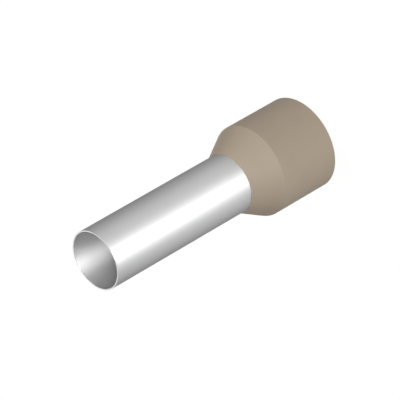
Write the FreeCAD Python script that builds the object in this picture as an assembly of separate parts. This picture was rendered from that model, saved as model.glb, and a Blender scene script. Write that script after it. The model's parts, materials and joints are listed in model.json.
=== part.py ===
import FreeCAD, Part
import math
import os

# Insulated wire-end ferrule for one 35 mm2 fine-stranded conductor, in the long 25 mm pattern.
#
# Two pieces make it. The crimp sleeve is a thin drawn copper tube, tin plated: its free end is cut
# square and deburred, and the other end is belled out. The collar is a thin polypropylene moulding
# round the belled end. Outside it is a cylinder and a conical shoulder that feathers out on the
# tube. Inside it is a bore for the cable's insulation, a funnel, a ledge that the bell's rim stands
# on, and a conical seat behind the bell. The funnel meets the bell edge to edge, so that no strand
# catches on the way in, and the ledge and the seat hold the bell from both sides.
#
# Frame: millimetres, +Z up along the axis. The ferrule stands on the collar's entry face, whose
# centre is the origin, and the tube's open mouth is at the top.

# Overall lengths
overall_length = 39.0  # collar's entry face to the tube's mouth
sleeve_free_length = 25.0  # tube that stands out of the collar

# Crimp sleeve
sleeve_bore_dia = 8.3
sleeve_wall = 0.2
cut_edge_chamfer = 0.05  # deburred, all four edges of the two cut ends

# Belled end of the sleeve, inside the collar
bell_start = 0.25  # depth below the collar's lip of the corner where the wall turns out
bell_depth = 2.95  # depth below the lip of the bell's rim, on its outer edge
bell_spread = 0.5  # how far the rim goes from the tube's outside towards the collar's bore
bell_bend_radius = 0.6  # on the outer surface

# Collar, outside
collar_bore_dia = 12.7
collar_wall = 0.4
shoulder_length = 4.25  # height of the conical shoulder
lip_thickness = 0.06  # where the shoulder feathers out on the tube
shoulder_round = 0.4  # crease between the shoulder and the cylinder

# Collar, inside and at its entry
funnel_angle = 40.0  # degrees from the axis
funnel_round = 0.5  # crease between the bore and the funnel
entry_round = 0.12  # both edges of the entry face
seat_clearance = 0.0  # the collar grips the bell, so they touch face to face

# On the end of a thin wall, each of the two broken edges takes no more than this share of it
widest_edge_share = 0.35

# Worked out from the sizes above
sleeve_bore_radius = sleeve_bore_dia / 2
sleeve_radius = sleeve_bore_radius + sleeve_wall
collar_bore_radius = collar_bore_dia / 2
collar_radius = collar_bore_radius + collar_wall
collar_height = overall_length - sleeve_free_length
bell_height = bell_depth - bell_start
bell_growth = bell_spread * (collar_bore_radius - sleeve_radius)
bell_angle = math.atan2(bell_growth, bell_height)


def edge_that_fits(wanted, wall):
    """The wanted chamfer or rounding, or less where the wall is too thin to carry two of them."""
    return min(wanted, widest_edge_share * wall)


def rounded_profile(corners):
    """Closed wire in the XZ plane through (radius, height, rounding) corners.

    A corner with a rounding becomes an arc that is tangent to both of its sides.
    """
    points = [FreeCAD.Vector(radius, 0, height) for radius, height, _ in corners]
    joins = []
    for i, here in enumerate(points):
        rounding = corners[i][2]
        back = (points[i - 1] - here).normalize()
        ahead = (points[(i + 1) % len(points)] - here).normalize()
        half_corner = back.getAngle(ahead) / 2
        reach = rounding / math.tan(half_corner)
        depth = rounding / math.sin(half_corner) - rounding
        middle = here + (back + ahead).normalize() * depth
        joins.append((here + back * reach, middle, here + ahead * reach))
    edges = []
    for i, (start, middle, end) in enumerate(joins):
        if corners[i][2] > 0:
            edges.append(Part.Arc(start, middle, end).toShape())
        next_start = joins[(i + 1) % len(joins)][0]
        edges.append(Part.LineSegment(end, next_start).toShape())
    return Part.Wire(edges)


def turned(corners):
    """Solid of revolution about the Z axis from its profile's corners."""
    profile = Part.Face(rounded_profile(corners))
    return profile.revolve(FreeCAD.Vector(0, 0, 0), FreeCAD.Vector(0, 0, 1), 360)


def bell_corner(offset):
    """Corner (radius, height, rounding) of the bell's bend, offset outwards from the sleeve.

    An offset of 0 is the sleeve's outer surface and minus its wall is the inner one. They share
    one bend centre, so the wall keeps its thickness round the bend.
    """
    radius = sleeve_radius + offset
    height = collar_height - bell_start + offset * math.tan(bell_angle / 2)
    return radius, height, bell_bend_radius - offset


def bell_rim(offset, beyond=0.0):
    """Sharp corner (radius, height, 0) at the bell's rim, offset outwards from the sleeve.

    It may lie beyond the rim, along the wall, or short of it where that is negative.
    """
    radius = sleeve_radius + bell_growth
    radius += offset * math.cos(bell_angle) + beyond * math.sin(bell_angle)
    height = collar_height - bell_depth
    height += offset * math.sin(bell_angle) - beyond * math.cos(bell_angle)
    return radius, height, 0.0


def crimp_sleeve():
    """Drawn tube of one wall thickness, cut square at its mouth and belled at its other end."""
    edge = edge_that_fits(cut_edge_chamfer, sleeve_wall)
    return turned(
        [
            (sleeve_radius - edge, overall_length, 0.0),
            (sleeve_radius, overall_length - edge, 0.0),
            bell_corner(0.0),
            bell_rim(0.0, -edge),
            bell_rim(-edge),
            bell_rim(edge - sleeve_wall),
            bell_rim(-sleeve_wall, -edge),
            bell_corner(-sleeve_wall),
            (sleeve_bore_radius, overall_length - edge, 0.0),
            (sleeve_bore_radius + edge, overall_length, 0.0),
        ]
    )


def insulating_collar():
    """Moulding with a shoulder outside and the bore, funnel, ledge and bell seat inside."""
    edge = edge_that_fits(entry_round, collar_wall)
    ledge_edge = bell_rim(-sleeve_wall, seat_clearance)
    ledge_radius, ledge_height = ledge_edge[:2]
    funnel_height = (collar_bore_radius - ledge_radius) / math.tan(math.radians(funnel_angle))
    return turned(
        [
            (collar_radius, 0.0, edge),
            (collar_radius, collar_height - shoulder_length, shoulder_round),
            (sleeve_radius + lip_thickness, collar_height, 0.0),
            (sleeve_radius + seat_clearance, collar_height, 0.0),
            bell_corner(seat_clearance),
            bell_rim(seat_clearance, seat_clearance),
            ledge_edge,
            (collar_bore_radius, ledge_height - funnel_height, funnel_round),
            (collar_bore_radius, 0.0, edge),
        ]
    )


os.makedirs("parts", exist_ok=True)
for piece in (crimp_sleeve, insulating_collar):
    solid = piece()
    solid.exportStep(f"parts/{piece.__name__}.step")
    print(f"{piece.__name__}: {solid.Volume:.2f} mm3, valid {solid.isValid()}")
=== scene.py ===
import json
import math

import bpy
from mathutils import Matrix, Vector


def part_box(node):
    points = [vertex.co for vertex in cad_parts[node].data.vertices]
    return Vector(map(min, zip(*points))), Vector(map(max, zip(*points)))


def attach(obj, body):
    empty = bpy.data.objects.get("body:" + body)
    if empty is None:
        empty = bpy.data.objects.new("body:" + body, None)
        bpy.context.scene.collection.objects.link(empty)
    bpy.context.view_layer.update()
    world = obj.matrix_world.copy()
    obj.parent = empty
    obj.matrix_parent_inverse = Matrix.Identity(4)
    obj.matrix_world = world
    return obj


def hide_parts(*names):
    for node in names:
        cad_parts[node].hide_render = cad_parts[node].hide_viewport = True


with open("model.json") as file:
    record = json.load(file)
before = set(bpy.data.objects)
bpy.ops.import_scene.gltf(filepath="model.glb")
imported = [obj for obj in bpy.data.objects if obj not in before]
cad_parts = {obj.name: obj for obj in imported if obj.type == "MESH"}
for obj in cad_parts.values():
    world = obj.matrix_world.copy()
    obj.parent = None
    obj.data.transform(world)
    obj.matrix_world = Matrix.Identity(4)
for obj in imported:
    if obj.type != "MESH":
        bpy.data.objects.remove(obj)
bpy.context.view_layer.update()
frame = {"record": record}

# Crimp sleeve: a copper tube drawn to a 0.2 mm wall, cut square and deburred at its mouth, belled
# out over a cone at its other end, and then tin plated all over, which leaves it a satin silver.
# The belled end is held inside the collar.
mounts = {mount["name"]: mount for mount in frame["record"]["mounts"]}
tube_radius = mounts["barrel"]["dims"]["r_mm"] / 1000
tube_bore_radius = mounts["conductor_bore"]["dims"]["r_mm"] / 1000
tube_wall = tube_radius - tube_bore_radius
collar_bore_radius = mounts["insulation_bore"]["dims"]["r_mm"] / 1000
mouth_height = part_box("crimp_sleeve")[1].z
collar_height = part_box("insulating_collar")[1].z
bell_start = 0.00025
bell_depth = 0.00295
bell_bend_radius = 0.0006
bell_spread = (collar_bore_radius - tube_radius) / 2
bell_angle = math.atan2(bell_spread, bell_depth - bell_start)
cut_edge_round = 0.00002


def bell_corner(offset):
    """Corner (radius, height, rounding) of the bell's bend, offset outwards from the tube."""
    height = collar_height - bell_start + offset * math.tan(bell_angle / 2)
    return tube_radius + offset, height, bell_bend_radius - offset


def bell_rim(offset, rounding=0.0):
    """Corner (radius, height, rounding) of the bell's rim, offset outwards from the tube."""
    radius = tube_radius + bell_spread + offset * math.cos(bell_angle)
    height = collar_height - bell_depth + offset * math.sin(bell_angle)
    return radius, height, rounding


def turning_tree():
    """Node tree that rounds a section's corners and turns it about the Z axis into a closed skin.

    The section is a loop of edges at (radius - turning radius, -height), because that is how the
    tree's circle carries it, and each of its points holds the rounding of its corner.
    """
    tree = bpy.data.node_groups.new("turned_section", "GeometryNodeTree")
    face = tree.interface
    face.new_socket("Section", in_out="INPUT", socket_type="NodeSocketGeometry")
    for name, kind in (
        ("Turning radius", "NodeSocketFloat"),
        ("Steps around", "NodeSocketInt"),
        ("Steps per round", "NodeSocketInt"),
        ("Crisp edge angle", "NodeSocketFloat"),
        ("Finish", "NodeSocketMaterial"),
    ):
        face.new_socket(name, in_out="INPUT", socket_type=kind)
    face.new_socket("Turned", in_out="OUTPUT", socket_type="NodeSocketGeometry")
    node = tree.nodes.new
    link = tree.links.new
    given = node("NodeGroupInput").outputs

    loop = node("GeometryNodeMeshToCurve")
    link(given["Section"], loop.inputs["Mesh"])

    rounding = node("GeometryNodeInputNamedAttribute")
    rounding.data_type = "FLOAT"
    rounding.inputs["Name"].default_value = "rounding"
    fillet = node("GeometryNodeFilletCurve")
    fillet.mode = "POLY"
    link(loop.outputs["Curve"], fillet.inputs["Curve"])
    link(given["Steps per round"], fillet.inputs["Count"])
    link(rounding.outputs["Attribute"], fillet.inputs["Radius"])

    circle = node("GeometryNodeCurvePrimitiveCircle")
    link(given["Steps around"], circle.inputs["Resolution"])
    link(given["Turning radius"], circle.inputs["Radius"])
    skin = node("GeometryNodeCurveToMesh")
    link(circle.outputs["Curve"], skin.inputs["Curve"])
    link(fillet.outputs["Curve"], skin.inputs["Profile Curve"])

    edge_angle = node("GeometryNodeInputMeshEdgeAngle")
    rounded_edge = node("FunctionNodeCompare")
    rounded_edge.data_type = "FLOAT"
    rounded_edge.operation = "LESS_THAN"
    link(edge_angle.outputs["Unsigned Angle"], rounded_edge.inputs["A"])
    link(given["Crisp edge angle"], rounded_edge.inputs["B"])
    crisp = node("GeometryNodeSetShadeSmooth")
    crisp.domain = "EDGE"
    link(skin.outputs["Mesh"], crisp.inputs["Geometry"])
    link(rounded_edge.outputs["Result"], crisp.inputs["Shade Smooth"])

    whole = node("GeometryNodeRealizeInstances")
    link(crisp.outputs["Geometry"], whole.inputs["Geometry"])
    finish = node("GeometryNodeSetMaterial")
    link(whole.outputs["Geometry"], finish.inputs["Geometry"])
    link(given["Finish"], finish.inputs["Material"])
    result = node("NodeGroupOutput")
    link(finish.outputs["Geometry"], result.inputs["Turned"])
    return tree


turned_section = turning_tree()


def turned_piece(name, corners, finish):
    """Mesh object turned about the Z axis from (radius, height, rounding) corners.

    They go down the piece's outside and up its inside, so that its faces look outwards.
    """
    turning_radius = sum(radius for radius, height, rounding in corners) / len(corners)
    section = bpy.data.meshes.new(name + "_section")
    points = [(radius - turning_radius, -height, 0) for radius, height, rounding in corners]
    sides = [(i, (i + 1) % len(points)) for i in range(len(points))]
    section.from_pydata(points, sides, [])
    roundings = section.attributes.new("rounding", "FLOAT", "POINT")
    roundings.data.foreach_set("value", [rounding for radius, height, rounding in corners])
    maker = bpy.data.objects.new(name + "_maker", section)
    bpy.context.scene.collection.objects.link(maker)

    turning = maker.modifiers.new("turning", "NODES")
    turning.node_group = turned_section
    wanted = {
        "Turning radius": turning_radius,
        "Steps around": 256,
        "Steps per round": 8,
        "Crisp edge angle": math.radians(25),
        "Finish": finish,
    }
    for socket in turned_section.interface.items_tree:
        if socket.name in wanted:
            turning[socket.identifier] = wanted[socket.name]
    even_normals = maker.modifiers.new("even_normals", "WEIGHTED_NORMAL")
    even_normals.keep_sharp = True
    bpy.context.view_layer.update()
    drawn = maker.evaluated_get(bpy.context.evaluated_depsgraph_get())
    mesh = bpy.data.meshes.new_from_object(drawn)
    mesh.name = name
    bpy.data.objects.remove(maker)
    piece = bpy.data.objects.new(name, mesh)
    bpy.context.scene.collection.objects.link(piece)
    return piece


class Shading:
    """Node tree of a material or of the world, and the nodes that are made more than once."""

    def __init__(self, owner):
        owner.use_nodes = True
        self.nodes = owner.node_tree.nodes
        self.link = owner.node_tree.links.new

    def result(self, operation, *values):
        """Result of a math operation on sockets and numbers."""
        made = self.nodes.new("ShaderNodeMath")
        made.operation = operation
        for socket, value in zip(made.inputs, values):
            if isinstance(value, (int, float)):
                socket.default_value = value
            else:
                self.link(value, socket)
        return made.outputs["Value"]

    def noise(self, grains, detail):
        """Noise whose grains have the given widths in mm along the object's X, Y and Z."""
        place = self.nodes.new("ShaderNodeTexCoord")
        mapping = self.nodes.new("ShaderNodeMapping")
        mapping.inputs["Scale"].default_value = [1000 / width for width in grains]
        self.link(place.outputs["Object"], mapping.inputs["Vector"])
        made = self.nodes.new("ShaderNodeTexNoise")
        made.inputs["Scale"].default_value = 1
        made.inputs["Detail"].default_value = detail
        self.link(mapping.outputs["Vector"], made.inputs["Vector"])
        return made.outputs["Fac"]

    def spread(self, factor, lowest, highest):
        """The factor from 0 to 1 turned into a value between the lowest and the highest."""
        limits = self.nodes.new("ShaderNodeMapRange")
        limits.inputs["To Min"].default_value = lowest
        limits.inputs["To Max"].default_value = highest
        self.link(factor, limits.inputs["Value"])
        return limits.outputs["Result"]

    def raise_relief(self, pattern, depth):
        """Let the pattern stand out of the surface by a depth in metres."""
        relief = self.nodes.new("ShaderNodeBump")
        relief.inputs["Distance"].default_value = depth
        self.link(pattern, relief.inputs["Height"])
        self.link(relief.outputs["Normal"], self.nodes["Principled BSDF"].inputs["Normal"])


def tin_finish():
    """Satin tin plate: drawing lines, a faint mottle, a rougher bore whose darker grey is painted
    shade inside the tube, and a smoother cut end.
    """
    finish = bpy.data.materials.new("tin_plate")
    tin = Shading(finish)
    surface = tin.nodes["Principled BSDF"].inputs
    surface["Metallic"].default_value = 1.0
    surface["Specular Tint"].default_value = (0.26, 0.26, 0.26, 1)
    surface["Anisotropic"].default_value = 0.66
    surface["Anisotropic Rotation"].default_value = 0.25
    round_the_tube = tin.nodes.new("ShaderNodeTangent")
    round_the_tube.direction_type = "RADIAL"
    round_the_tube.axis = "Z"
    tin.link(round_the_tube.outputs["Tangent"], surface["Tangent"])

    place = tin.nodes.new("ShaderNodeTexCoord").outputs["Object"]
    across = tin.nodes.new("ShaderNodeVectorMath")
    across.operation = "MULTIPLY"
    across.inputs[1].default_value = (1, 1, 0)
    tin.link(place, across.inputs[0])
    from_axis = tin.nodes.new("ShaderNodeVectorMath")
    from_axis.operation = "LENGTH"
    tin.link(across.outputs["Vector"], from_axis.inputs[0])
    bore_edge = tube_bore_radius + cut_edge_round
    bore = tin.result("LESS_THAN", from_axis.outputs["Value"], bore_edge)
    height = tin.nodes.new("ShaderNodeSeparateXYZ")
    tin.link(place, height.inputs[0])
    cut_end = tin.result("GREATER_THAN", height.outputs["Z"], mouth_height - cut_edge_round)

    drawing_lines = tin.noise((0.15, 0.15, 9), 3)
    mottle = tin.noise((0.9, 0.9, 1.6), 2)
    # Inside the bore the grey is painted darker, 0.75 against 0.81, as shade inside the tube. The
    # mottle is the plating's own uneven tone.
    shade = tin.result("MULTIPLY", tin.spread(bore, 0.81, 0.75), tin.spread(mottle, 0.98, 1.02))
    tin.link(shade, surface["Base Color"])
    # The bore's higher roughness is a duller plating, not painted shade.
    roughness = tin.spread(bore, 0.577, 0.785)
    roughness = tin.result("MULTIPLY", roughness, tin.spread(drawing_lines, 0.95, 1.05))
    roughness = tin.result("MULTIPLY", roughness, tin.spread(cut_end, 1, 0.5))
    tin.link(roughness, surface["Roughness"])
    tin.raise_relief(drawing_lines, 0.000002)
    return finish


sleeve = turned_piece(
    "drawn_sleeve",
    [
        (tube_radius, mouth_height, cut_edge_round),
        bell_corner(0),
        bell_rim(0, cut_edge_round),
        bell_rim(-tube_wall, cut_edge_round),
        bell_corner(-tube_wall),
        (tube_bore_radius, mouth_height, cut_edge_round),
    ],
    tin_finish(),
)
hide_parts("crimp_sleeve")
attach(sleeve, "root")

# Insulating collar: one polypropylene moulding in the beige that marks this conductor's size. Its
# shoulder feathers out on the tube, and its inside is the bore for the insulation, the funnel, the
# ledge under the bell's rim and the seat behind the bell.
collar_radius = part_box("insulating_collar")[1].x
shoulder_length = 0.00425
lip_thickness = 0.00006
shoulder_round = 0.0004
funnel_angle = math.radians(40)
funnel_round = 0.0005
entry_round = 0.00012
ledge_radius, ledge_height = bell_rim(-tube_wall)[:2]
funnel_height = (collar_bore_radius - ledge_radius) / math.tan(funnel_angle)


def moulded_finish():
    """Matt beige polypropylene: the mould's fine grain, and a slight unevenness of the colour."""
    finish = bpy.data.materials.new("beige_polypropylene")
    plastic = Shading(finish)
    surface = plastic.nodes["Principled BSDF"].inputs
    surface["Specular IOR Level"].default_value = 0.3
    colour = plastic.nodes.new("ShaderNodeMix")
    colour.data_type = "RGBA"
    colour.inputs["A"].default_value = (0.425, 0.348, 0.266, 1)
    colour.inputs["B"].default_value = (0.455, 0.374, 0.287, 1)
    plastic.link(plastic.noise((2.5, 2.5, 2.5), 2), colour.inputs["Factor"])
    plastic.link(colour.outputs["Result"], surface["Base Color"])
    mould_grain = plastic.noise((0.16, 0.16, 0.16), 4)
    plastic.link(plastic.spread(mould_grain, 0.60, 0.72), surface["Roughness"])
    plastic.raise_relief(mould_grain, 0.000006)
    return finish


collar = turned_piece(
    "moulded_collar",
    [
        (tube_radius + lip_thickness, collar_height, lip_thickness / 3),
        (collar_radius, collar_height - shoulder_length, shoulder_round),
        (collar_radius, 0, entry_round),
        (collar_bore_radius, 0, entry_round),
        (collar_bore_radius, ledge_height - funnel_height, funnel_round),
        bell_rim(-tube_wall),
        bell_rim(0),
        bell_corner(0),
        (tube_radius, collar_height, 0),
    ],
    moulded_finish(),
)
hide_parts("insulating_collar")
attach(collar, "root")

# Camera: the ferrule points its mouth down and to the left, as an isometric view shows it, so the
# camera looks down on the standing ferrule and is rolled on its side.
camera_data = bpy.data.cameras.new("camera")
camera_data.sensor_width = 36
camera_data.lens = 326.8
camera_data.clip_start = 0.01
camera_data.clip_end = 10
camera = bpy.data.objects.new("camera", camera_data)
bpy.context.scene.collection.objects.link(camera)
look_down = math.asin(1 / math.sqrt(3))
forward = Vector((0, math.cos(look_down), -math.sin(look_down)))
right = Vector((-0.5, -0.5, -math.sqrt(0.5)))
up = right.cross(forward)
camera.matrix_world = Matrix((right, up, -forward)).transposed().to_4x4()
camera.location = (0.00001, -0.39985, 0.30222)
bpy.context.scene.camera = camera

# Studio: a white floor that glows as brightly as the backdrop, so that no shadow shows on it, but
# not where the collar covers it. Three suns light the matt collar. Two suns and two near lamps,
# which show in gloss only, light the tin.


def floor_paint(name, shade, glow):
    """White paint that is clear from below, so that the underside can be seen."""
    finish = bpy.data.materials.new(name)
    paint = Shading(finish)
    shader = paint.nodes["Principled BSDF"]
    shader.inputs["Base Color"].default_value = (shade, shade, shade, 1)
    shader.inputs["Roughness"].default_value = 1
    shader.inputs["Specular IOR Level"].default_value = 0
    shader.inputs["Emission Color"].default_value = (1, 1, 1, 1)
    shader.inputs["Emission Strength"].default_value = glow
    clear = paint.nodes.new("ShaderNodeBsdfTransparent")
    side = paint.nodes.new("ShaderNodeNewGeometry")
    choice = paint.nodes.new("ShaderNodeMixShader")
    paint.link(side.outputs["Backfacing"], choice.inputs[0])
    paint.link(shader.outputs[0], choice.inputs[1])
    paint.link(clear.outputs[0], choice.inputs[2])
    paint.link(choice.outputs[0], paint.nodes["Material Output"].inputs["Surface"])
    return finish


def lay_floor(name, outline, paint):
    """Flat piece of floor that the camera sees, and that sends no light on to the ferrule."""
    mesh = bpy.data.meshes.new(name)
    mesh.from_pydata(outline, [], [range(len(outline))])
    mesh.materials.append(paint)
    floor = bpy.data.objects.new(name, mesh)
    bpy.context.scene.collection.objects.link(floor)
    floor.visible_glossy = False
    floor.visible_diffuse = False


square = [(-2, -2, 0), (2, -2, 0), (2, 2, 0), (-2, 2, 0)]
lay_floor("floor", square, floor_paint("lit_floor", 0.08, 0.95))
just_above = 0.00001
first = Vector((collar_bore_radius, 0, just_above))
disc = [Matrix.Rotation(math.tau * step / 64, 3, "Z") @ first for step in range(64)]
lay_floor("covered_floor", disc, floor_paint("unlit_floor", 0.7, 0))


def direction(azimuth, elevation):
    """Unit vector towards a light, at degrees round from the camera's side and up from level."""
    turn = math.radians(azimuth)
    lift = math.radians(elevation)
    level = math.cos(lift)
    return Vector((-math.sin(turn) * level, -math.cos(turn) * level, math.sin(lift)))


def add_lamp(name, kind, energy, towards, shows):
    """Lamp that shines from a direction, and shows on matt surfaces only or in gloss only."""
    lamp = bpy.data.objects.new(name, bpy.data.lights.new(name, kind))
    lamp.data.energy = energy
    lamp.matrix_world = towards.to_track_quat("Z", "Y").to_matrix().to_4x4()
    lamp.visible_camera = False
    lamp.visible_diffuse = shows == "matt"
    lamp.visible_glossy = shows == "gloss"
    bpy.context.scene.collection.objects.link(lamp)
    return lamp


for name, azimuth, elevation, energy, softness, shows in (
    ("key_light", 14, 23, 2.04, 20, "matt"),
    ("side_light", -104, 52, 1.34, 20, "matt"),
    ("back_light", 180, 20, 1.3, 20, "matt"),
    ("back_gloss", 190, 35, 0.54, 50, "gloss"),
    ("side_gloss", -60, 26, 0.25, 25, "gloss"),
):
    sun = add_lamp(name, "SUN", energy, direction(azimuth, elevation), shows)
    sun.data.angle = math.radians(softness)

middle = Vector((0, 0, mouth_height / 2))
lamp_distance = 0.24
lamp_radius = 0.052
for name, azimuth, elevation, energy in (
    ("front_gloss", 22, 18.6, 1.03),
    ("high_gloss", 12.5, 42.2, 2.09),
):
    towards = direction(azimuth, elevation)
    near_lamp = add_lamp(name, "POINT", energy, towards, "gloss")
    near_lamp.location = middle + towards * lamp_distance
    near_lamp.data.shadow_soft_size = lamp_radius

# Sky: white to the camera. On matt surfaces it is a faint glow, a little stronger from below, and
# in gloss it is nearly dark above and bright below, as over a white table.
world = bpy.data.worlds.new("studio")
bpy.context.scene.world = world
world.cycles.sampling_method = "NONE"
sky = Shading(world)
sky.nodes.clear()
way = sky.nodes.new("ShaderNodeTexCoord")
along = sky.nodes.new("ShaderNodeSeparateXYZ")
sky.link(way.outputs["Generated"], along.inputs[0])
below = sky.result("MAXIMUM", sky.result("MULTIPLY", along.outputs["Z"], -1), 0)
soft_glow = sky.result("MULTIPLY_ADD", below, 0.30, 0.184)
strength = sky.result("MULTIPLY_ADD", along.outputs["Y"], -0.15, 1.69)
strength = sky.result("MULTIPLY_ADD", along.outputs["X"], -0.195, strength)
gloss_glow = sky.result("MULTIPLY_ADD", sky.result("POWER", below, 1.24), strength, 0.091)
ray = sky.nodes.new("ShaderNodeLightPath")
seen = sky.nodes.new("ShaderNodeMix")
sky.link(ray.outputs["Is Glossy Ray"], seen.inputs["Factor"])
sky.link(soft_glow, seen.inputs["A"])
sky.link(gloss_glow, seen.inputs["B"])
backdrop = sky.nodes.new("ShaderNodeMix")
sky.link(ray.outputs["Is Camera Ray"], backdrop.inputs["Factor"])
sky.link(seen.outputs["Result"], backdrop.inputs["A"])
backdrop.inputs["B"].default_value = 1.0
background = sky.nodes.new("ShaderNodeBackground")
background.inputs["Color"].default_value = (1, 1, 1, 1)
sky.link(backdrop.outputs["Result"], background.inputs["Strength"])
output = sky.nodes.new("ShaderNodeOutputWorld")
sky.link(background.outputs[0], output.inputs["Surface"])
bpy.context.scene.view_settings.view_transform = "Standard"
